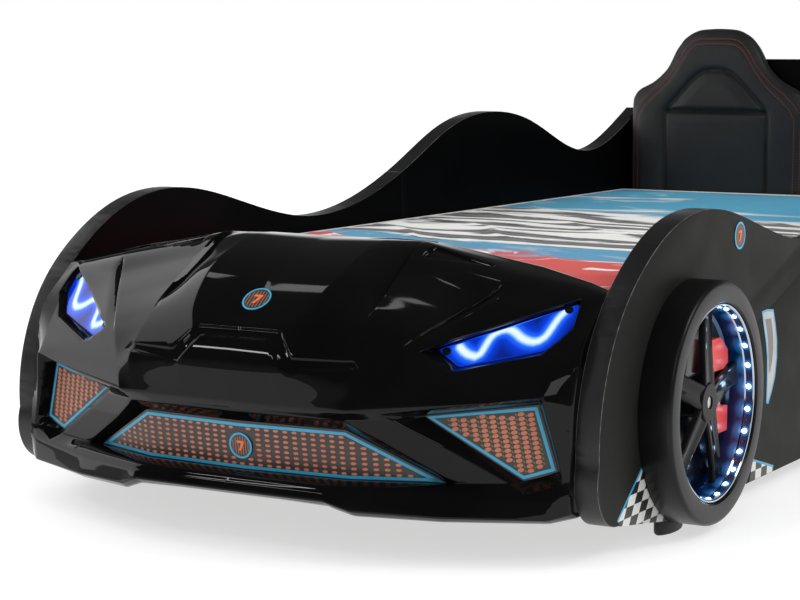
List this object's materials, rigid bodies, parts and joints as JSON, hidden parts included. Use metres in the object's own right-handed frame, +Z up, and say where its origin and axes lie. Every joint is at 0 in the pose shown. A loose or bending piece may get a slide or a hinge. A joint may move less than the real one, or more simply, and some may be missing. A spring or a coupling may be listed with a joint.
{
  "type": "car bed for children",
  "caption": "Single bed in the shape of a sports car, with a moulded nose, lit headlights and wheels, wavy side panels, padded seat backs and a slatted base.",
  "frame": {"origin": "middle of the footprint, on the floor", "axes": "+Z up; the car's nose points to -Y and the headboard is at +Y; +X is the car's own left"},
  "size_m": [1.098, 2.42, 0.749],
  "materials": {
    "panel_black": "matt black foil on board",
    "inner_wood": "bare softwood",
    "tyre_plastic": "satin black moulded plastic",
    "rim_chrome": "bright metallised plastic",
    "spoke_gloss_black": "gloss black",
    "caliper_red": "gloss red",
    "light_white": "light diffuser",
    "bright_steel": "zinc plated",
    "lens_clear": "clear blue",
    "light_blue": "blue reflector",
    "grille_print": "printed sheet",
    "black_leatherette": "fine grain, stitched",
    "black_screw": "black oxide",
    "shell_gloss_black": "piano black",
    "slat_wood": "bare pine",
    "strap_web": "woven webbing",
    "foot_plastic": "black",
    "mattress_fabric": "quilted ticking",
    "coverlet_fabric": "printed cotton"
  },
  "bodies": {
    "base": {"side_panel_left_front": "panel_black", "side_panel_left_rear": "panel_black", "joint_plate_left": "inner_wood", "side_rail_left": "inner_wood", "tyre_front_left": "tyre_plastic", "rim_barrel_front_left": "rim_chrome", "spoke_disc_front_left": "spoke_gloss_black", "brake_caliper_front_left": "caliper_red", "led_ring_front_left": "light_white", "tyre_rear_left": "tyre_plastic", "rim_barrel_rear_left": "rim_chrome", "spoke_disc_rear_left": "spoke_gloss_black", "brake_caliper_rear_left": "caliper_red", "led_ring_rear_left": "light_white", "headlight_lens_left": "lens_clear", "headlight_housing_left": "light_blue", "headlight_bar_left": "light_white", "side_grille_left": "grille_print", "seat_pad_left": "black_leatherette", "side_panel_right_front": "panel_black", "side_panel_right_rear": "panel_black", "joint_plate_right": "inner_wood", "side_rail_right": "inner_wood", "tyre_front_right": "tyre_plastic", "rim_barrel_front_right": "rim_chrome", "spoke_disc_front_right": "spoke_gloss_black", "brake_caliper_front_right": "caliper_red", "led_ring_front_right": "light_white", "tyre_rear_right": "tyre_plastic", "rim_barrel_rear_right": "rim_chrome", "spoke_disc_rear_right": "spoke_gloss_black", "brake_caliper_rear_right": "caliper_red", "led_ring_rear_right": "light_white", "headlight_lens_right": "lens_clear", "headlight_housing_right": "light_blue", "headlight_bar_right": "light_white", "side_grille_right": "grille_print", "seat_pad_right": "black_leatherette", "wheel_bolts": "bright_steel", "joint_screws": "bright_steel", "lens_screws": "black_screw", "front_shell": "shell_gloss_black", "front_board": "panel_black", "centre_grille": "grille_print", "headboard_panel": "panel_black", "slats": "slat_wood", "slat_straps": "strap_web", "centre_beam": "inner_wood", "beam_legs": "inner_wood", "glide_feet": "foot_plastic", "light_supply": "foot_plastic"},
    "mattress": {"mattress": "mattress_fabric"},
    "coverlet": {"coverlet": "coverlet_fabric"}
  },
  "joints": [
    {"name": "mattress_lift", "type": "slide", "parent": "base", "child": "mattress", "axis": [0, 0, 1], "range_m": [0, 0.6]},
    {"name": "coverlet_lift", "type": "slide", "parent": "mattress", "child": "coverlet", "axis": [0, 0, 1], "range_m": [0, 0.4]}
  ]
}
